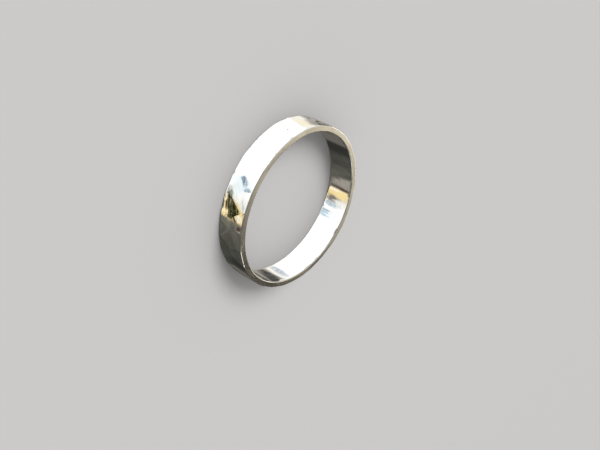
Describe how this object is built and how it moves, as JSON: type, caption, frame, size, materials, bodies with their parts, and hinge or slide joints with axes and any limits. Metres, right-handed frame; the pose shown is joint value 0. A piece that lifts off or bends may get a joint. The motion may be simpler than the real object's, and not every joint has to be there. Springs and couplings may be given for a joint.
{
  "type": "hammered band ring",
  "caption": "Plain flat finger ring in polished silver: the outer face is hammered into small flats, the bore is smooth and the rims are flat.",
  "frame": {"origin": "on the axis of the finger hole, in the plane of the rim that the ring rests on", "axes": "+Z along the finger hole, up from the resting rim to the other rim; +X and +Y lie across the ring"},
  "size_m": [0.0187, 0.0187, 0.0033],
  "materials": {
    "silver": "polished silver, hammered outside, with satin rims"
  },
  "bodies": {
    "root": {"band": "silver"}
  },
  "joints": []
}
